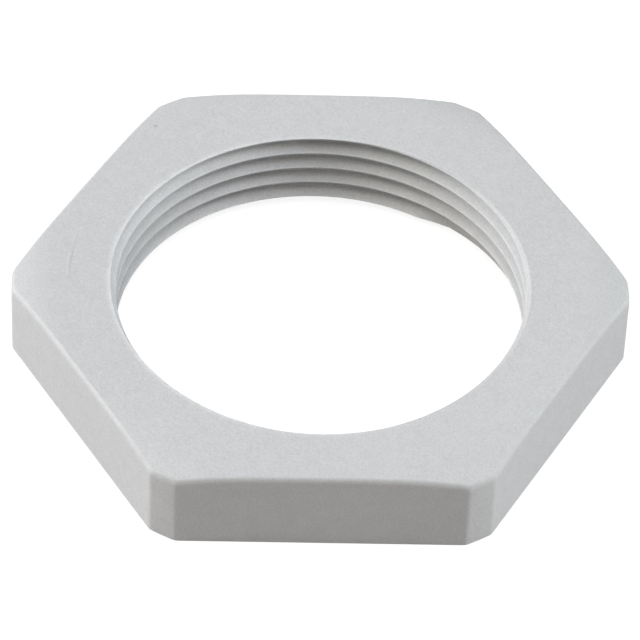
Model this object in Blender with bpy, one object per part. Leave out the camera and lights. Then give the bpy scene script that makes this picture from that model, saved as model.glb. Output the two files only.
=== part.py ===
"""Locknut for an M32 x 1.5 cable gland, moulded in one piece in light grey polyamide.

A turned blank gives the round-cut corners and the shallow chamfer of the top face.
A hexagonal die trims the blank to its spanner flats, and a tap cuts the thread: a
right-hand ridge with a sharp crest, which runs out through the top face and ends in a
short ramp above the seating face, where a countersink gives the bore a plain mouth.

The seating face lies on z = 0 with its centre at the origin. Two corners point
along X and two flats face along Y. Lengths are in metres.
"""

import math

import bmesh
import bpy
from mathutils import Matrix

# Thread
THREAD_MAJOR_DIAMETER = 0.0320
THREAD_DEPTH = 0.00067
THREAD_PITCH = 0.0015
CREST_FLAT = 0.00004
ROOT_FLAT = 0.00004
THREAD_END_HEIGHT = 0.00064
THREAD_END_ANGLE = math.radians(60.0)
THREAD_END_FADE = math.radians(11.25)

# Plain mouth under the thread: its widest edge lies on the seating face
MOUTH_WIDENING = 0.00035
MOUTH_STEP = 0.00005
MOUTH_HEIGHT = 0.00057

# Body
WALL_AT_FLATS = 0.0045
HEIGHT = 0.0068
CORNER_CUT = 0.0006
CHAMFER_ANGLE = math.radians(19.0)
CHAMFER_START = 0.0008
CHAMFER_BLEND_RADIUS = 0.0072

# The flats stand one wall outside the root of the thread
ACROSS_FLATS = THREAD_MAJOR_DIAMETER + 2.0 * WALL_AT_FLATS
SHARP_CORNER_RADIUS = ACROSS_FLATS / 2.0 / math.cos(math.pi / 6.0)

# How far the die and the tap run past the faces that they cut
OVERRUN = 0.0020

# Resolution
TURN_STEPS = 180
MOUTH_STEPS = 120
BLEND_STEPS = 5
THREAD_STEPS = 96
MERGE_DISTANCE = 0.000001

# Material
BODY_COLOUR = (0.61, 0.62, 0.62, 1.0)
BODY_ROUGHNESS = 0.55


def empty_scene():
    """Remove every object, so that the model starts from nothing."""
    for old in list(bpy.data.objects):
        bpy.data.objects.remove(old, do_unlink=True)


def polyamide():
    """Light grey moulded polyamide with a matt skin."""
    material = bpy.data.materials.new("light_grey_polyamide")
    material.use_nodes = True
    shader = material.node_tree.nodes["Principled BSDF"]
    shader.inputs["Base Color"].default_value = BODY_COLOUR
    shader.inputs["Roughness"].default_value = BODY_ROUGHNESS
    shader.inputs["Metallic"].default_value = 0.0
    return material


def add_object(name, mesh_data):
    """Turn a finished bmesh into an object in the scene."""
    bmesh.ops.recalc_face_normals(mesh_data, faces=mesh_data.faces)
    mesh = bpy.data.meshes.new(name)
    mesh_data.to_mesh(mesh)
    mesh_data.free()
    placed = bpy.data.objects.new(name, mesh)
    bpy.context.collection.objects.link(placed)
    return placed


def as_cutter(placed):
    """Show a cutter as wires only, so that it isn't part of the model."""
    placed.display_type = "WIRE"
    placed.hide_render = True
    return placed


def blank_profile():
    """Outer side of the turned blank as (radius, height), from the top face down."""
    corner_radius = SHARP_CORNER_RADIUS - CORNER_CUT
    start_radius = ACROSS_FLATS / 2.0 + CHAMFER_START
    half_turn = math.tan(CHAMFER_ANGLE / 2.0)
    # The arc that blends the top face into the chamfer stays inside the corners
    blend = min(CHAMFER_BLEND_RADIUS, (corner_radius - start_radius) / half_turn)
    points = []
    for step in range(BLEND_STEPS + 1):
        angle = CHAMFER_ANGLE * step / BLEND_STEPS
        radius = start_radius + blend * (math.sin(angle) - half_turn)
        points.append((radius, HEIGHT - blend * (1.0 - math.cos(angle))))
    drop = (corner_radius - start_radius) * math.tan(CHAMFER_ANGLE)
    points.append((corner_radius, HEIGHT - drop))
    points.append((corner_radius, 0.0))
    return points


def turned_blank():
    """Spin the outer side round the axis and close it with the two flat faces."""
    shape = bmesh.new()
    profile = [shape.verts.new((radius, 0.0, height)) for radius, height in blank_profile()]
    edges = [shape.edges.new(pair) for pair in zip(profile, profile[1:])]
    # Half a step of turn puts a face, not an edge, in the middle of each corner
    half_step = Matrix.Rotation(math.pi / TURN_STEPS, 3, "Z")
    bmesh.ops.rotate(shape, verts=profile, cent=(0.0, 0.0, 0.0), matrix=half_step)
    bmesh.ops.spin(
        shape,
        geom=profile + edges,
        cent=(0.0, 0.0, 0.0),
        axis=(0.0, 0.0, 1.0),
        angle=2.0 * math.pi,
        steps=TURN_STEPS,
        use_merge=True,
    )
    bmesh.ops.remove_doubles(shape, verts=shape.verts, dist=MERGE_DISTANCE)
    bmesh.ops.holes_fill(shape, edges=shape.edges, sides=0)
    return add_object("locknut", shape)


def hexagonal_die():
    """Prism over the six spanner flats, running past both faces of the nut."""
    shape = bmesh.new()
    depth = HEIGHT + 2.0 * OVERRUN
    place = Matrix.Translation((0.0, 0.0, HEIGHT / 2.0)) @ Matrix.Rotation(math.pi / 6.0, 4, "Z")
    bmesh.ops.create_cone(
        shape,
        cap_ends=True,
        segments=6,
        radius1=SHARP_CORNER_RADIUS,
        radius2=SHARP_CORNER_RADIUS,
        depth=depth,
        matrix=place,
    )
    return as_cutter(add_object("hexagonal_die", shape))


def thread_section():
    """One pitch of the bore wall as (rise from the crest's middle, radius, on the ridge)."""
    root_radius = THREAD_MAJOR_DIAMETER / 2.0
    crest_radius = root_radius - THREAD_DEPTH
    return [
        (-CREST_FLAT / 2.0, crest_radius, True),
        (CREST_FLAT / 2.0, crest_radius, True),
        (THREAD_PITCH / 2.0 - ROOT_FLAT / 2.0, root_radius, False),
        (THREAD_PITCH / 2.0 + ROOT_FLAT / 2.0, root_radius, False),
    ]


def ridge_share(turns):
    """Share of the ridge's full height, at a number of turns past its lower end."""
    return min(max(1.0 + turns * 2.0 * math.pi / THREAD_END_FADE, 0.0), 1.0)


def thread_tap():
    """The tap: columns of points that climb one pitch in a turn, closed at both ends."""
    section = thread_section()
    per_pitch = len(section)
    root_radius = THREAD_MAJOR_DIAMETER / 2.0
    lowest = -(OVERRUN + THREAD_PITCH + THREAD_END_HEIGHT)
    first_pitch = math.floor(lowest / THREAD_PITCH)
    last_pitch = math.ceil((HEIGHT + OVERRUN) / THREAD_PITCH)

    shape = bmesh.new()
    columns = []
    for step in range(THREAD_STEPS):
        turn = step / THREAD_STEPS
        angle = THREAD_END_ANGLE + 2.0 * math.pi * turn
        # The first column has a pitch more at the top, where the last column meets it
        extra = 1 if step == 0 else 0
        column = []
        for pitch in range(first_pitch, last_pitch + extra):
            for rise, radius, on_ridge in section:
                if on_ridge:
                    radius = root_radius - THREAD_DEPTH * ridge_share(pitch + turn)
                height = THREAD_END_HEIGHT + (pitch + turn) * THREAD_PITCH + rise
                place = (radius * math.cos(angle), radius * math.sin(angle), height)
                column.append(shape.verts.new(place))
        columns.append(column)

    for step in range(THREAD_STEPS):
        here = columns[step]
        if step == THREAD_STEPS - 1:
            beside = columns[0][per_pitch:]
        else:
            beside = columns[step + 1]
        levels = min(len(here), len(beside))
        for level in range(levels - 1):
            shape.faces.new((here[level], beside[level], beside[level + 1]))
            shape.faces.new((here[level], beside[level + 1], here[level + 1]))

    close_tap(shape, columns, per_pitch)
    return as_cutter(add_object("thread_tap", shape))


def close_tap(shape, columns, per_pitch):
    """Close both ends of the tap with a fan of triangles round the axis."""
    bottom_rim = [column[0] for column in columns]
    bottom_step = columns[0][per_pitch:0:-1]
    levels = len(columns[1])
    top_rim = [column[levels - 1] for column in columns]
    top_step = columns[0][:levels - 1 - len(columns[0]):-1]
    for rim, step in ((bottom_rim, bottom_step), (top_rim, top_step)):
        loop = rim + step
        centre = shape.verts.new((0.0, 0.0, rim[0].co.z))
        for first, second in zip(loop, loop[1:] + loop[:1]):
            shape.faces.new((centre, first, second))


def mouth_countersink():
    """Cone that widens the bore from just outside the thread's root to the mouth's edge."""
    root_radius = THREAD_MAJOR_DIAMETER / 2.0
    narrow_radius = root_radius + MOUTH_STEP
    wide_radius = root_radius + MOUTH_WIDENING
    # The cone keeps its slope below the seating face
    slope = (wide_radius - narrow_radius) / MOUTH_HEIGHT
    shape = bmesh.new()
    bmesh.ops.create_cone(
        shape,
        cap_ends=True,
        segments=MOUTH_STEPS,
        radius1=wide_radius + slope * OVERRUN,
        radius2=narrow_radius,
        depth=MOUTH_HEIGHT + OVERRUN,
        matrix=Matrix.Translation((0.0, 0.0, (MOUTH_HEIGHT - OVERRUN) / 2.0)),
    )
    return as_cutter(add_object("mouth_countersink", shape))


def add_boolean(target, name, operation, cutter):
    """Trim the target with a cutter."""
    cut = target.modifiers.new(name, "BOOLEAN")
    cut.operation = operation
    cut.solver = "EXACT"
    cut.object = cutter
    return cut


def build_locknut():
    """The whole nut: the blank, trimmed to its flats, threaded and countersunk."""
    nut = turned_blank()
    nut.data.materials.append(polyamide())
    add_boolean(nut, "spanner_flats", "INTERSECT", hexagonal_die())
    add_boolean(nut, "thread", "DIFFERENCE", thread_tap())
    add_boolean(nut, "mouth", "DIFFERENCE", mouth_countersink())
    return nut


empty_scene()
build_locknut()
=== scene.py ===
import math

import bmesh
import bpy
from mathutils import Matrix, Vector


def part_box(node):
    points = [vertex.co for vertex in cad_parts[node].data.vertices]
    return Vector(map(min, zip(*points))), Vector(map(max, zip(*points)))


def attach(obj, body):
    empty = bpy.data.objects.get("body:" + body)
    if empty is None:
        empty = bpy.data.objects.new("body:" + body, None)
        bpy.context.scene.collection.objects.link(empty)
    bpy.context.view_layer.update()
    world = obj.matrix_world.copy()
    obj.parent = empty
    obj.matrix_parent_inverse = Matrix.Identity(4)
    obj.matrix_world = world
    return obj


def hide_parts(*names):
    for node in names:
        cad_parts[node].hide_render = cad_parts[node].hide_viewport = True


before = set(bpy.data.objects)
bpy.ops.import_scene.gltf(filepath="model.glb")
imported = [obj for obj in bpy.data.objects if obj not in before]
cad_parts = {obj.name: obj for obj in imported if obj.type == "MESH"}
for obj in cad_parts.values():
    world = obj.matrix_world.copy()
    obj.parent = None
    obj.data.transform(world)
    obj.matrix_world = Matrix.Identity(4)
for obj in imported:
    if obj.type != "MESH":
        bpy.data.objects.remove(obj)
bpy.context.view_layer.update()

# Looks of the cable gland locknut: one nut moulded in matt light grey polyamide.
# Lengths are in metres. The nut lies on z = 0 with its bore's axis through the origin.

NODE = "locknut"

# Sizes that the frame gives
LOWEST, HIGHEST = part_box(NODE)
ACROSS_CORNERS = HIGHEST.x - LOWEST.x
ACROSS_FLATS = HIGHEST.y - LOWEST.y
HEIGHT = HIGHEST.z

# A nut has six sides, and a corner lies on the X axis
SIDES = 6
SIDE_TURN = math.tau / SIDES

# Sizes of the moulding. The top edge is rounded as an ellipse, whose flatness is its width
# over its depth, and SLOPE_STEP is the step over which the slope that it starts with is taken.
CHAMFER_ANGLE = math.radians(19.0)
CHAMFER_START = 0.0008
CHAMFER_BLEND = 0.0018
TOP_EDGE_WIDTH = 0.00028
TOP_EDGE_FLATNESS = 0.56
SLOPE_STEP = 0.00001
BOTTOM_EDGE_RADIUS = 0.00012
BORE_EDGE_RADIUS = 0.00007
CORNER_EDGE_SOFTNESS = 0.00016

# Sizes of the thread and of the plain mouth under it. The crest and the root are rounded by a
# share of the flank.
THREAD_MAJOR_DIAMETER = 0.0320
THREAD_DEPTH = 0.00067
THREAD_PITCH = 0.0015
CREST_FLAT = 0.00004
ROOT_FLAT = 0.00004
THREAD_END_HEIGHT = 0.00064
THREAD_END_ANGLE = math.radians(60.0)
THREAD_END_FADE = math.radians(11.25)
MOUTH_WIDENING = 0.00035
MOUTH_STEP = 0.00005
MOUTH_HEIGHT = 0.00057
CREST_ROUNDING = 0.03
ROOT_ROUNDING = 0.1

# Fineness of the mesh: columns round the nut, and rows across each band of its skin. Columns
# also lie at each of the steps to both sides of an upright edge. The thread's rows start some
# pitches below its end, with enough to spare to pass the top face, and those past either end
# are merged there. COLUMN_LIFT keeps a rounding error from moving the last column.
FLAT_COLUMNS = 40
CORNER_COLUMNS = 5
EDGE_STEPS = (0.00004, 0.0001, 0.00018, 0.00028, 0.0004)
ROWS_PER_PITCH = 22
PITCHES_BELOW = 2.0
SPARE_PITCHES = 5
CREST_CROWDING = 0.6
ROW_CROWDING = 0.85
FACE_ROWS = 16
WALL_ROWS = 12
EDGE_ROWS = 8
COLUMN_LIFT = 0.00005
MERGE_DISTANCE = 0.000002

# The bore's rim and the crests of the thread are painted lighter, a painted highlight, and made a
# little glossier. A pair gives how much at the left and at the right of the bore, at a set reach
# from its axis.
HIGHLIGHT_EDGE = "highlight_edge"
RIM_HIGHLIGHT_WIDTH = 0.00045
CREST_HIGHLIGHT_WIDTH = 0.00014
RIM_HIGHLIGHT_DEPTH = 0.0008
HIGHLIGHT_CONTRAST = 0.16
EDGE_POLISH = 0.06
HIGHLIGHT_REACH = 0.013
RIM_HIGHLIGHT = (1.8, 0.0)
CREST_HIGHLIGHT = (0.9, 1.6)
HIGHLIGHT_PATCHES = (0.3, 0.6, 0.6, 1.0)

# Finish. A noise is given by its detail and roughness, and a range is the part of a noise
# that the finish uses. Patches turn such a part into a share of a mark's full strength.
PLASTIC_COLOUR = (0.61, 0.622, 0.63)
ROUGHNESS = 0.62
MOTTLE_ROUGHNESS = 0.05
GRAIN_ROUGHNESS = 0.04
GLOSS_RANGE = (0.3, 0.7)
GRAIN_SIZE = 0.00016
GRAIN_NOISE = (2.0, 0.6)
GRAIN_RANGE = (0.3, 0.7)
GRAIN_CONTRAST = 0.16
GRAIN_RELIEF = 0.000008
MOTTLE_SIZE = 0.0011
MOTTLE_NOISE = (3.0, 0.55)
MOTTLE_RANGE = (0.35, 0.65)
MOTTLE_CONTRAST = 0.035
MOTTLE_RELIEF = 0.00001
DRIFT_SIZE = 0.012
DRIFT_NOISE = (1.0, 0.5)
DRIFT_RANGE = (0.35, 0.65)
DRIFT_CONTRAST = 0.02

# Marks on the top face: an arc of a fine ring, with a light line outside its dark one, and
# one dark fleck. Turns are in radians from the left end of the X axis.
TOP_MARK_DEPTH = 0.0002
RING_RADIUS = 0.01875
RING_STEP = 0.00022
RING_TURN = 0.10
RING_WIDTH = 0.00012
RING_REACH = 0.17
RING_DEPTH = 0.000012
RING_WANDER = 0.0002
RING_CONTRAST = 0.17
RING_LIGHT_SHARE = 0.6
RING_PATCHES = (0.4, 0.55, 0.5, 1.0)
FLECK_PLACE = (-0.01260, 0.01650)
FLECK_SIZE = 0.00024
FLECK_CONTRAST = 0.42

# Camera
CAMERA_TARGET = Vector((0.00014, 0.00247, 0.0))
CAMERA_TURN = math.radians(-2.25)
CAMERA_RISE = math.radians(44.95)
CAMERA_ROLL = math.radians(2.57)
CAMERA_DISTANCE = 0.3811
CAMERA_LENS = 282.6
SENSOR_WIDTH = 36.0
CLIP_START = 0.01
CLIP_END = 20.0

# Floor. It cuts the nut a little above the seating face, so that the two never coincide. The
# nut is lit by a card of the first colour, and the camera sees the second one with a glow.
FLOOR_REACH = 3.0
FLOOR_LIFT = 0.00001
FLOOR_CARD_COLOUR = (0.565, 0.537, 0.525, 1.0)
FLOOR_SEEN_COLOUR = (0.22, 0.22, 0.22, 1.0)
FLOOR_GLOW = 0.88

# Soft boxes, all at one distance from the nut: bearing and height in degrees, width and
# height in metres, power in watts, colour. Bearing 0 is the right, and -90 is the front.
LAMP_DISTANCE = 0.8
LAMPS = {
    "left_low_box": (180.0, 13.0, 0.30, 0.34, 1.52, (0.97, 1.0, 1.0)),
    "left_low_back_box": (158.0, 13.0, 0.30, 0.34, 3.06, (0.89, 0.905, 1.0)),
    "left_high_box": (180.0, 40.0, 0.30, 0.40, 2.05, (1.0, 0.935, 0.83)),
    "right_low_box": (0.0, 13.0, 0.30, 0.34, 0.60, (0.80, 1.0, 0.85)),
    "right_floor_box": (-8.0, 5.0, 0.30, 0.12, 1.66, (0.97, 0.95, 0.97)),
    "right_high_box": (0.0, 40.0, 0.30, 0.40, 2.40, (0.93, 0.945, 1.0)),
    "top_box": (-90.0, 82.0, 0.40, 0.40, 1.98, (0.88, 0.92, 1.0)),
    "top_front_box": (-90.0, 62.0, 0.50, 0.30, 1.34, (1.0, 0.94, 0.83)),
    # Under the floor, which holds its light off everything but the seating face
    "under_box": (-90.0, -78.0, 0.50, 0.50, 4.5, (0.96, 0.97, 1.0)),
}


class Amount:
    """A number in a node tree. Arithmetic on amounts adds Math nodes to the tree."""

    def __init__(self, tree, socket):
        self.tree = tree
        self.socket = socket

    def maths(self, operation, *others):
        """The result of a Math node, whose other inputs are amounts or plain numbers."""
        node = self.tree.nodes.new("ShaderNodeMath")
        node.operation = operation
        for place, term in zip(node.inputs, (self, *others)):
            if isinstance(term, Amount):
                self.tree.links.new(term.socket, place)
            else:
                place.default_value = term
        return Amount(self.tree, node.outputs[0])

    def __add__(self, other):
        return self.maths("ADD", other)

    def __sub__(self, other):
        return self.maths("SUBTRACT", other)

    def __mul__(self, other):
        return self.maths("MULTIPLY", other)

    def __truediv__(self, other):
        return self.maths("DIVIDE", other)

    def clamp(self, low, high):
        """The amount, kept between two others."""
        return self.maths("MAXIMUM", low).maths("MINIMUM", high)


class NutTree:
    """The Geometry Nodes tree that sweeps the nut's skin round its outline."""

    SIZES = {
        "Height": HEIGHT,
        "Chamfer Slope": math.tan(CHAMFER_ANGLE),
        "Chamfer Radius": ACROSS_FLATS / 2.0 + CHAMFER_START,
        "Chamfer Blend": CHAMFER_BLEND,
        "Top Edge Width": TOP_EDGE_WIDTH,
        "Top Edge Flatness": TOP_EDGE_FLATNESS,
        "Bottom Edge Radius": BOTTOM_EDGE_RADIUS,
        "Bore Edge Radius": BORE_EDGE_RADIUS,
        "Thread Major Radius": THREAD_MAJOR_DIAMETER / 2.0,
        "Thread Depth": THREAD_DEPTH,
        "Thread Pitch": THREAD_PITCH,
        "Crest Flat": CREST_FLAT,
        "Root Flat": ROOT_FLAT,
        "Thread End Height": THREAD_END_HEIGHT,
        "Thread End Turn": THREAD_END_ANGLE / math.tau,
        "Thread End Fade": THREAD_END_FADE / math.tau,
        "Mouth Radius": THREAD_MAJOR_DIAMETER / 2.0 + MOUTH_WIDENING,
        "Mouth Top Radius": THREAD_MAJOR_DIAMETER / 2.0 + MOUTH_STEP,
        "Mouth Height": MOUTH_HEIGHT,
    }

    def __init__(self):
        self.tree = bpy.data.node_groups.new("nut_skin", "GeometryNodeTree")
        face = self.tree.interface
        face.new_socket(name="Outline", in_out="INPUT", socket_type="NodeSocketGeometry")
        self.identifiers = {}
        for name, size in self.SIZES.items():
            socket = face.new_socket(name=name, in_out="INPUT", socket_type="NodeSocketFloat")
            socket.default_value = size
            self.identifiers[name] = socket.identifier
        skin = face.new_socket(name="Finish", in_out="INPUT", socket_type="NodeSocketMaterial")
        self.identifiers["Finish"] = skin.identifier
        face.new_socket(name="Nut", in_out="OUTPUT", socket_type="NodeSocketGeometry")
        self.entry = self.tree.nodes.new("NodeGroupInput")
        self.sizes = {name: Amount(self.tree, self.entry.outputs[name]) for name in self.SIZES}
        self.columns = self.outline_count()

    def link(self, source, target):
        self.tree.links.new(source, target)

    def constant(self, value):
        """A number that is the same at every point."""
        node = self.tree.nodes.new("ShaderNodeValue")
        node.outputs[0].default_value = value
        return Amount(self.tree, node.outputs[0])

    def outline_count(self):
        """How many points the outline has, which is how many columns the skin has."""
        node = self.tree.nodes.new("GeometryNodeAttributeDomainSize")
        node.component = "MESH"
        self.link(self.entry.outputs["Outline"], node.inputs["Geometry"])
        return Amount(self.tree, node.outputs["Point Count"])

    def outline_point(self, index):
        """The outline's point at an index, as x and y."""
        node = self.tree.nodes.new("GeometryNodeSampleIndex")
        node.data_type = "FLOAT_VECTOR"
        node.domain = "POINT"
        position = self.tree.nodes.new("GeometryNodeInputPosition")
        split = self.tree.nodes.new("ShaderNodeSeparateXYZ")
        self.link(self.entry.outputs["Outline"], node.inputs["Geometry"])
        self.link(position.outputs[0], node.inputs["Value"])
        self.link(index.socket, node.inputs["Index"])
        self.link(node.outputs[0], split.inputs[0])
        return Amount(self.tree, split.outputs["X"]), Amount(self.tree, split.outputs["Y"])

    def turn_of(self, x, y):
        """A point's angle round the axis, in turns."""
        return y.maths("ARCTAN2", x) / math.tau

    def thread_radius(self, turn, height):
        """Radius of the bore's wall: a helical ridge that stands in from the root."""
        size = self.sizes
        rise = (height - size["Thread End Height"]) / size["Thread Pitch"]
        # The nearest crest of the ridge, and how far from it the place is, in pitches
        ridge = (rise - turn).maths("ROUND")
        off_crest = (rise - turn - ridge).maths("ABSOLUTE")
        crest_end = size["Crest Flat"] / size["Thread Pitch"] * 0.5
        root_end = (size["Root Flat"] / size["Thread Pitch"] * -0.5) + 0.5
        flank = (off_crest - crest_end) / (root_end - crest_end)
        flank = flank.maths("SMOOTH_MAX", 0.0, CREST_ROUNDING)
        flank = flank.maths("SMOOTH_MIN", 1.0, ROOT_ROUNDING)
        # At its lower end the ridge rises out of the wall in a short ramp
        started = ((ridge + turn) / size["Thread End Fade"] + 1.0).clamp(0.0, 1.0)
        inward = size["Thread Depth"] * started * (flank * -1.0 + 1.0)
        return size["Thread Major Radius"] - inward

    def top_height(self, radius):
        """Height of the top face and its chamfer."""
        size = self.sizes
        outside = (radius - size["Chamfer Radius"]).maths("SMOOTH_MAX", 0.0, size["Chamfer Blend"])
        return size["Height"] - outside * size["Chamfer Slope"]

    def top_rounding(self, outer):
        """The quarter ellipse that carries the slope of the top face over into the wall.

        It is given by the radius and height where it starts, the lean that it has there,
        and its half axes across and down."""
        size = self.sizes
        rim = outer - size["Top Edge Width"]
        high = self.top_height(rim)
        slope = (self.top_height(rim - SLOPE_STEP) - high) / SLOPE_STEP
        first_lean = (slope * size["Top Edge Flatness"]).maths("ARCTANGENT")
        across = size["Top Edge Width"] / (first_lean.maths("SINE") * -1.0 + 1.0)
        down = across / size["Top Edge Flatness"]
        return rim, high, first_lean, across, down

    def strip(self, rows, section):
        """A band of the skin, from one row to the next round the whole nut.

        section gives the radius, height and painted highlight of a point from its row, its share
        of the way across the band, its turn round the axis and the outline's radius there.
        The last column lies on the first one, a whole turn further on."""
        # The column and the row of a point in the grid
        index = Amount(self.tree, self.tree.nodes.new("GeometryNodeInputIndex").outputs[0])
        column = (index / rows + 0.5 / rows).maths("FLOOR")
        row = index - column * rows
        share = row / (rows - 1)
        # Where that column lies on the outline, and its turn from the thread's lower end
        wrapped = (column / self.columns + COLUMN_LIFT).maths("FLOOR")
        point = (column - wrapped * self.columns).maths("ROUND")
        x, y = self.outline_point(point)
        first_x, first_y = self.outline_point(self.constant(0.0))
        start = self.turn_of(first_x, first_y)
        turn = (self.turn_of(x, y) - start).maths("FRACT") + wrapped
        turn = turn + start - self.sizes["Thread End Turn"]
        outer = (x * x + y * y).maths("SQRT")
        radius, height, highlight = section(row, share, turn, outer)

        place = self.tree.nodes.new("ShaderNodeCombineXYZ")
        self.link((x / outer * radius).socket, place.inputs["X"])
        self.link((y / outer * radius).socket, place.inputs["Y"])
        self.link(height.socket, place.inputs["Z"])
        grid = self.tree.nodes.new("GeometryNodeMeshGrid")
        self.link((self.columns + 1.0).socket, grid.inputs["Vertices X"])
        grid.inputs["Vertices Y"].default_value = rows
        move = self.tree.nodes.new("GeometryNodeSetPosition")
        self.link(grid.outputs["Mesh"], move.inputs["Geometry"])
        self.link(place.outputs[0], move.inputs["Position"])
        # Each point keeps the strength of the painted highlight, which the finish reads
        mark = self.tree.nodes.new("GeometryNodeStoreNamedAttribute")
        mark.data_type = "FLOAT"
        mark.domain = "POINT"
        mark.inputs["Name"].default_value = HIGHLIGHT_EDGE
        self.link(move.outputs["Geometry"], mark.inputs["Geometry"])
        self.link(highlight.socket, mark.inputs["Value"])
        return mark.outputs["Geometry"]

    def eased(self, share):
        """The same share, with the rows crowded towards both ends of the band."""
        wave = (share * math.tau).maths("SINE")
        return share - wave * (ROW_CROWDING / math.tau)

    def blended(self, low, high, share):
        """The amount at a share of the way from one to another."""
        return low + (high - low) * share

    def painted_highlight(self, distance, width):
        """How strong the painted highlight is at a place, from its distance to the edge that it
        fades from.
        """
        near = (distance / width * -1.0 + 1.0).clamp(0.0, 1.0)
        return near * near

    def bore(self, row, share, turn, outer):
        """The threaded wall, with rows that climb round it and crowd at the crests."""
        size = self.sizes
        step = row / ROWS_PER_PITCH
        crowd = (step * math.tau).maths("SINE") * (CREST_CROWDING / math.tau)
        rise = (step - crowd - PITCHES_BELOW + turn) * size["Thread Pitch"]
        top = size["Height"] - size["Bore Edge Radius"]
        height = (rise + size["Thread End Height"]).clamp(size["Mouth Height"], top)
        radius = self.thread_radius(turn, height)
        # Painted highlight along the thread's crests and just below the bore's rim
        crest = size["Thread Major Radius"] - size["Thread Depth"]
        ridge = self.painted_highlight(radius - crest, CREST_HIGHLIGHT_WIDTH)
        rim = self.painted_highlight(top - height, CREST_HIGHLIGHT_WIDTH)
        return radius, height, ridge.maths("MAXIMUM", rim)

    def bore_top_edge(self, row, share, turn, outer):
        """The rounded rim of the bore at the top face."""
        size = self.sizes
        edge = size["Bore Edge Radius"]
        lean = share * (math.pi / 2.0)
        start = size["Height"] - edge
        radius = self.thread_radius(turn, start) + edge * (lean.maths("COSINE") * -1.0 + 1.0)
        # The whole rim carries the full painted highlight
        return radius, start + edge * lean.maths("SINE"), self.constant(1.0)

    def top_face(self, row, share, turn, outer):
        """The flat top face and its chamfer."""
        size = self.sizes
        edge = size["Bore Edge Radius"]
        inner = self.thread_radius(turn, size["Height"] - edge) + edge
        rim = outer - size["Top Edge Width"]
        radius = self.blended(inner, rim, self.eased(share))
        # The painted highlight fades out across the top face from the bore's rim
        return radius, self.top_height(radius), self.painted_highlight(radius - inner, RIM_HIGHLIGHT_WIDTH)

    def top_edge(self, row, share, turn, outer):
        """The rounded edge between the top face and the wall."""
        rim, high, first_lean, across, down = self.top_rounding(outer)
        lean = self.blended(first_lean, self.constant(math.pi / 2.0), share)
        radius = rim + across * (lean.maths("SINE") - first_lean.maths("SINE"))
        height = high - down * (first_lean.maths("COSINE") - lean.maths("COSINE"))
        return radius, height, self.constant(0.0)

    def flat(self, row, share, turn, outer):
        """The upright wall: the spanner flats and the round-cut corners."""
        size = self.sizes
        rim, high, first_lean, across, down = self.top_rounding(outer)
        top = high - down * first_lean.maths("COSINE")
        height = self.blended(top, size["Bottom Edge Radius"], self.eased(share))
        return outer, height, self.constant(0.0)

    def bottom_edge(self, row, share, turn, outer):
        """The rounded edge between the wall and the seating face."""
        edge = self.sizes["Bottom Edge Radius"]
        lean = share * (math.pi / 2.0)
        radius = outer - edge * (lean.maths("COSINE") * -1.0 + 1.0)
        return radius, edge - edge * lean.maths("SINE"), self.constant(0.0)

    def seating_face(self, row, share, turn, outer):
        """The flat face that the nut rests on."""
        size = self.sizes
        inner = size["Mouth Radius"] + size["Bottom Edge Radius"]
        rim = outer - size["Bottom Edge Radius"]
        return self.blended(rim, inner, self.eased(share)), self.constant(0.0), self.constant(0.0)

    def mouth_edge(self, row, share, turn, outer):
        """The rounded edge between the seating face and the bore's mouth."""
        size = self.sizes
        edge = size["Bottom Edge Radius"]
        lean = share * (math.pi / 2.0)
        radius = size["Mouth Radius"] + edge - edge * lean.maths("SINE")
        return radius, edge - edge * lean.maths("COSINE"), self.constant(0.0)

    def mouth_wall(self, row, share, turn, outer):
        """The plain wall of the mouth, which narrows upwards."""
        size = self.sizes
        near = self.eased(share)
        radius = self.blended(size["Mouth Radius"], size["Mouth Top Radius"], near)
        height = self.blended(size["Bottom Edge Radius"], size["Mouth Height"], near)
        return radius, height, self.constant(0.0)

    def mouth_shoulder(self, row, share, turn, outer):
        """The level step from the mouth in to the threaded wall."""
        size = self.sizes
        thread = self.thread_radius(turn, size["Mouth Height"])
        radius = self.blended(size["Mouth Top Radius"], thread, share)
        return radius, size["Mouth Height"], self.constant(0.0)

    def build(self):
        """Join the bands into one closed skin."""
        pitches = math.ceil(HEIGHT / THREAD_PITCH) + SPARE_PITCHES
        bands = (
            (pitches * ROWS_PER_PITCH + 1, self.bore),
            (EDGE_ROWS, self.bore_top_edge),
            (FACE_ROWS, self.top_face),
            (EDGE_ROWS, self.top_edge),
            (WALL_ROWS, self.flat),
            (EDGE_ROWS, self.bottom_edge),
            (FACE_ROWS, self.seating_face),
            (EDGE_ROWS, self.mouth_edge),
            (EDGE_ROWS, self.mouth_wall),
            (EDGE_ROWS, self.mouth_shoulder),
        )
        nodes = self.tree.nodes
        join = nodes.new("GeometryNodeJoinGeometry")
        for rows, section in bands:
            self.link(self.strip(rows, section), join.inputs["Geometry"])
        weld = nodes.new("GeometryNodeMergeByDistance")
        weld.inputs["Distance"].default_value = MERGE_DISTANCE
        realize = nodes.new("GeometryNodeRealizeInstances")
        finish = nodes.new("GeometryNodeSetMaterial")
        leave = nodes.new("NodeGroupOutput")
        self.link(join.outputs[0], weld.inputs["Geometry"])
        self.link(weld.outputs[0], realize.inputs["Geometry"])
        self.link(realize.outputs[0], finish.inputs["Geometry"])
        self.link(self.entry.outputs["Finish"], finish.inputs["Material"])
        self.link(finish.outputs[0], leave.inputs["Nut"])
        return self.tree


def outline_radius(angle):
    """Radius of the turned hexagon at an angle, with its upright edges softened."""
    half_side = SIDE_TURN / 2.0
    from_corner = (angle + half_side) % SIDE_TURN - half_side
    to_flat = half_side - abs(from_corner)
    flat = ACROSS_FLATS / 2.0 / math.cos(to_flat)
    corner = ACROSS_CORNERS / 2.0
    # A smooth minimum: a cubic curve takes over where the two radii come near each other
    soft = CORNER_EDGE_SOFTNESS
    near = max(soft - abs(flat - corner), 0.0) / soft
    return min(flat, corner) - near ** 3 * soft / 6.0


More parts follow.
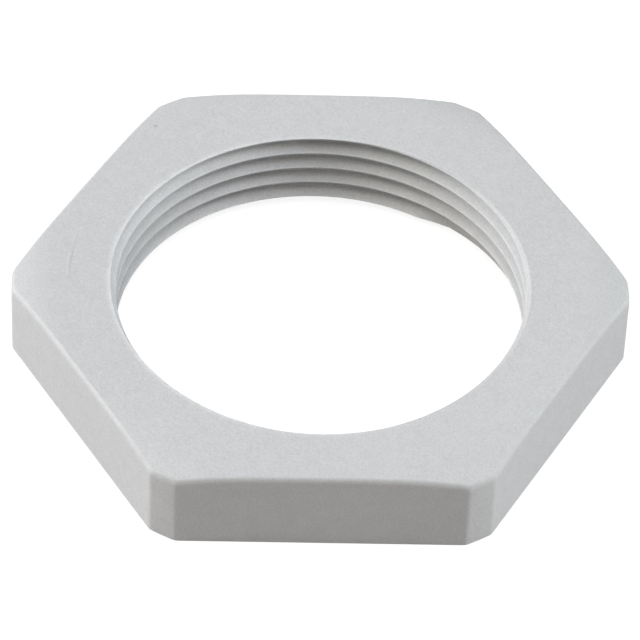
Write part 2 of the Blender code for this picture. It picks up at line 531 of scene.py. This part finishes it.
def outline_angles():
    """Angles of the outline's points, crowded at the twelve upright edges."""
    corner = ACROSS_CORNERS / 2.0
    edge = SIDE_TURN / 2.0 - math.acos(ACROSS_FLATS / 2.0 / corner)
    steps = [step / corner for step in EDGE_STEPS]
    inside = edge - steps[-1]
    start = edge + steps[-1]
    span = SIDE_TURN - 2.0 * start
    angles = []
    for number in range(SIDES):
        middle = number * SIDE_TURN
        for side in (-edge, edge):
            angles += [middle + side - step for step in steps]
            angles += [middle + side + step for step in steps]
        for column in range(1, CORNER_COLUMNS + 1):
            angles.append(middle + inside * (2.0 * column / (CORNER_COLUMNS + 1) - 1.0))
        for column in range(1, FLAT_COLUMNS + 1):
            angles.append(middle + start + span * column / (FLAT_COLUMNS + 1))
    return sorted(angles)


def outline():
    """The nut's plan as a closed loop of points."""
    shape = bmesh.new()
    points = []
    for angle in outline_angles():
        radius = outline_radius(angle)
        points.append(shape.verts.new((radius * math.cos(angle), radius * math.sin(angle), 0.0)))
    for first, second in zip(points, points[1:] + points[:1]):
        shape.edges.new((first, second))
    mesh = bpy.data.meshes.new("nut_outline")
    shape.to_mesh(mesh)
    shape.free()
    loop = bpy.data.objects.new("nut_outline", mesh)
    bpy.context.scene.collection.objects.link(loop)
    return loop


def moulded_nut(finish):
    """The nut's skin, evaluated to a plain closed mesh."""
    loop = outline()
    skin = NutTree()
    modifier = loop.modifiers.new("nut_skin", "NODES")
    modifier.node_group = skin.build()
    for name, size in skin.SIZES.items():
        modifier[skin.identifiers[name]] = size
    modifier[skin.identifiers["Finish"]] = finish
    ready = loop.evaluated_get(bpy.context.evaluated_depsgraph_get())
    mesh = bpy.data.meshes.new_from_object(ready)
    bpy.data.objects.remove(loop, do_unlink=True)
    mesh.name = "moulded_locknut"
    shape = bmesh.new()
    shape.from_mesh(mesh)
    bmesh.ops.dissolve_degenerate(shape, dist=MERGE_DISTANCE / 2.0, edges=shape.edges)
    bmesh.ops.recalc_face_normals(shape, faces=shape.faces)
    shape.to_mesh(mesh)
    shape.free()
    mesh.shade_smooth()
    nut = bpy.data.objects.new("moulded_locknut", mesh)
    bpy.context.scene.collection.objects.link(nut)
    return nut


class FinishTree:
    """The node tree of a surface finish that reads the piece's own coordinates."""

    def __init__(self, name):
        self.material = bpy.data.materials.new(name)
        self.material.use_nodes = True
        self.tree = self.material.node_tree
        self.shader = self.tree.nodes["Principled BSDF"]
        place = self.tree.nodes.new("ShaderNodeTexCoord")
        self.place = place.outputs["Object"]
        split = self.tree.nodes.new("ShaderNodeSeparateXYZ")
        self.tree.links.new(self.place, split.inputs[0])
        self.x = Amount(self.tree, split.outputs["X"])
        self.y = Amount(self.tree, split.outputs["Y"])
        self.z = Amount(self.tree, split.outputs["Z"])

    def noise(self, grain_size, detail, roughness):
        """Noise between 0 and 1 whose grains are about as large as the given size."""
        node = self.tree.nodes.new("ShaderNodeTexNoise")
        node.inputs["Scale"].default_value = 1.0 / grain_size
        node.inputs["Detail"].default_value = detail
        node.inputs["Roughness"].default_value = roughness
        self.tree.links.new(self.place, node.inputs["Vector"])
        return Amount(self.tree, node.outputs[0])

    def spread(self, amount, low, high, at_low, at_high):
        """The amount moved from one range to another, and kept inside the new one."""
        node = self.tree.nodes.new("ShaderNodeMapRange")
        self.tree.links.new(amount.socket, node.inputs["Value"])
        node.inputs["From Min"].default_value = low
        node.inputs["From Max"].default_value = high
        node.inputs["To Min"].default_value = at_low
        node.inputs["To Max"].default_value = at_high
        return Amount(self.tree, node.outputs[0])

    def stored(self, name):
        """A number that the mesh keeps at each of its points."""
        node = self.tree.nodes.new("ShaderNodeAttribute")
        node.attribute_type = "GEOMETRY"
        node.attribute_name = name
        return Amount(self.tree, node.outputs["Fac"])

    def line(self, distance, width):
        """One on the line where the distance is zero, and nothing past its width."""
        return self.spread(distance.maths("ABSOLUTE"), 0.0, width, 1.0, 0.0)


def polyamide_finish():
    """Matt light grey polyamide with a fine moulded grain."""
    finish = FinishTree("light_grey_polyamide")
    tree = finish.tree
    shader = finish.shader
    grain = finish.noise(GRAIN_SIZE, *GRAIN_NOISE)
    mottle = finish.noise(MOTTLE_SIZE, *MOTTLE_NOISE)
    drift = finish.noise(DRIFT_SIZE, *DRIFT_NOISE)

    # Fine ring on the top face, of which one arc shows
    radius = (finish.x * finish.x + finish.y * finish.y).maths("SQRT")
    turn = finish.y.maths("ARCTAN2", finish.x * -1.0)
    across = radius - RING_RADIUS + (mottle - 0.5) * RING_WANDER
    light_line = finish.line(across - RING_STEP, RING_WIDTH) * RING_LIGHT_SHARE
    ring = finish.line(across, RING_WIDTH) - light_line
    on_top = finish.spread(finish.z, HEIGHT - TOP_MARK_DEPTH, HEIGHT, 0.0, 1.0)
    ring = ring * finish.line(turn - RING_TURN, RING_REACH) * on_top
    ring = ring * finish.spread(mottle, *RING_PATCHES)

    # One dark fleck in the plastic
    away_x = finish.x - FLECK_PLACE[0]
    away_y = finish.y - FLECK_PLACE[1]
    fleck = finish.line((away_x * away_x + away_y * away_y).maths("SQRT"), FLECK_SIZE)
    fleck = fleck * on_top

    # Painted highlight, strongest on the bore's rim at the left and on the crests of the thread at
    # the right
    on_rim = finish.spread(finish.z, HEIGHT - RIM_HIGHLIGHT_DEPTH, HEIGHT - BORE_EDGE_RADIUS, 0.0, 1.0)
    rim_highlight = finish.spread(finish.x, -HIGHLIGHT_REACH, HIGHLIGHT_REACH, *RIM_HIGHLIGHT)
    crest_highlight = finish.spread(finish.x, -HIGHLIGHT_REACH, HIGHLIGHT_REACH, *CREST_HIGHLIGHT)
    painted_highlight = finish.stored(HIGHLIGHT_EDGE) * finish.spread(mottle, *HIGHLIGHT_PATCHES)
    painted_highlight = painted_highlight * (crest_highlight + (rim_highlight - crest_highlight) * on_rim)

    # Lighter and darker than the plastic's own colour, with the painted highlight added on top
    shade = finish.spread(grain, *GRAIN_RANGE, -0.5, 0.5) * GRAIN_CONTRAST
    shade = shade + finish.spread(mottle, *MOTTLE_RANGE, -0.5, 0.5) * MOTTLE_CONTRAST
    shade = shade + finish.spread(drift, *DRIFT_RANGE, -0.5, 0.5) * DRIFT_CONTRAST
    shade = shade + 1.0 - ring * RING_CONTRAST - fleck * FLECK_CONTRAST + painted_highlight * HIGHLIGHT_CONTRAST
    tint = tree.nodes.new("ShaderNodeVectorMath")
    tint.operation = "SCALE"
    tint.inputs[0].default_value = PLASTIC_COLOUR
    tree.links.new(shade.socket, tint.inputs["Scale"])
    tree.links.new(tint.outputs[0], shader.inputs["Base Color"])

    dull = ROUGHNESS + MOTTLE_ROUGHNESS
    bright = ROUGHNESS - MOTTLE_ROUGHNESS
    gloss = finish.spread(mottle, *GLOSS_RANGE, dull, bright)
    gloss = gloss + finish.spread(grain, *GLOSS_RANGE, GRAIN_ROUGHNESS, -GRAIN_ROUGHNESS)
    gloss = gloss - painted_highlight * EDGE_POLISH
    tree.links.new(gloss.socket, shader.inputs["Roughness"])

    bump = tree.nodes.new("ShaderNodeBump")
    bump.inputs["Strength"].default_value = 1.0
    bump.inputs["Distance"].default_value = 1.0
    relief = grain * GRAIN_RELIEF + mottle * MOTTLE_RELIEF - ring * RING_DEPTH
    tree.links.new(relief.socket, bump.inputs["Height"])
    tree.links.new(bump.outputs[0], shader.inputs["Normal"])
    return finish.material


def stand():
    """Plain pale floor. The camera sees it near white, and it keeps the nut's shadow.

    From below the camera looks through it, at the nut's seating face."""
    shape = bmesh.new()
    bmesh.ops.create_grid(shape, x_segments=1, y_segments=1, size=FLOOR_REACH)
    mesh = bpy.data.meshes.new("floor")
    shape.to_mesh(mesh)
    shape.free()
    floor = bpy.data.objects.new("floor", mesh)
    floor.location.z = FLOOR_LIFT
    bpy.context.scene.collection.objects.link(floor)
    material = bpy.data.materials.new("white_floor")
    material.use_nodes = True
    tree = material.node_tree
    tree.nodes.clear()
    card = tree.nodes.new("ShaderNodeBsdfDiffuse")
    card.inputs["Color"].default_value = FLOOR_CARD_COLOUR
    seen = tree.nodes.new("ShaderNodeBsdfDiffuse")
    seen.inputs["Color"].default_value = FLOOR_SEEN_COLOUR
    glow = tree.nodes.new("ShaderNodeEmission")
    glow.inputs["Strength"].default_value = FLOOR_GLOW
    both = tree.nodes.new("ShaderNodeAddShader")
    side = tree.nodes.new("ShaderNodeNewGeometry")
    clear = tree.nodes.new("ShaderNodeBsdfTransparent")
    from_above = tree.nodes.new("ShaderNodeMixShader")
    choose = tree.nodes.new("ShaderNodeMixShader")
    path = tree.nodes.new("ShaderNodeLightPath")
    leave = tree.nodes.new("ShaderNodeOutputMaterial")
    tree.links.new(seen.outputs[0], both.inputs[0])
    tree.links.new(glow.outputs[0], both.inputs[1])
    tree.links.new(path.outputs["Is Camera Ray"], choose.inputs[0])
    tree.links.new(card.outputs[0], choose.inputs[1])
    tree.links.new(side.outputs["Backfacing"], from_above.inputs[0])
    tree.links.new(both.outputs[0], from_above.inputs[1])
    tree.links.new(clear.outputs[0], from_above.inputs[2])
    tree.links.new(from_above.outputs[0], choose.inputs[2])
    tree.links.new(choose.outputs[0], leave.inputs["Surface"])
    floor.data.materials.append(material)


def soft_box(name, bearing, rise, width, height, power, colour):
    """A large soft lamp that faces the nut."""
    lamp = bpy.data.lights.new(name, "AREA")
    lamp.shape = "RECTANGLE"
    lamp.size = width
    lamp.size_y = height
    lamp.energy = power
    lamp.color = colour
    held = bpy.data.objects.new(name, lamp)
    turn = math.radians(bearing)
    lift = math.radians(rise)
    level = math.cos(lift)
    towards = Vector((level * math.cos(turn), level * math.sin(turn), math.sin(lift)))
    held.location = towards * LAMP_DISTANCE
    held.rotation_mode = "QUATERNION"
    held.rotation_quaternion = towards.to_track_quat("Z", "Y")
    bpy.context.scene.collection.objects.link(held)


def studio():
    """Soft light from both sides and above, with one lamp under the floor.

    The camera sees the air as white, and it lights nothing."""
    for name, facts in LAMPS.items():
        soft_box(name, *facts)
    world = bpy.data.worlds.new("studio_air")
    bpy.context.scene.world = world
    world.use_nodes = True
    tree = world.node_tree
    air = tree.nodes["Background"]
    air.inputs["Color"].default_value = (1.0, 1.0, 1.0, 1.0)
    path = tree.nodes.new("ShaderNodeLightPath")
    tree.links.new(path.outputs["Is Camera Ray"], air.inputs["Strength"])


def camera():
    """Long lens at the photograph's angle."""
    lens = bpy.data.cameras.new("camera")
    lens.lens = CAMERA_LENS
    lens.sensor_width = SENSOR_WIDTH
    lens.clip_start = CLIP_START
    lens.clip_end = CLIP_END
    back = Vector((
        math.sin(CAMERA_TURN) * math.cos(CAMERA_RISE),
        -math.cos(CAMERA_TURN) * math.cos(CAMERA_RISE),
        math.sin(CAMERA_RISE),
    ))
    right = Vector((0.0, 0.0, 1.0)).cross(back).normalized()
    up = back.cross(right)
    level = Matrix((right, up, back)).transposed().to_4x4()
    held = bpy.data.objects.new("camera", lens)
    held.matrix_world = (
        Matrix.Translation(CAMERA_TARGET + back * CAMERA_DISTANCE)
        @ level
        @ Matrix.Rotation(CAMERA_ROLL, 4, "Z")
    )
    bpy.context.scene.collection.objects.link(held)
    bpy.context.scene.camera = held


nut = moulded_nut(polyamide_finish())
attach(nut, "root")
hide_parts(NODE)
stand()
studio()
camera()
bpy.context.scene.view_settings.view_transform = "Standard"
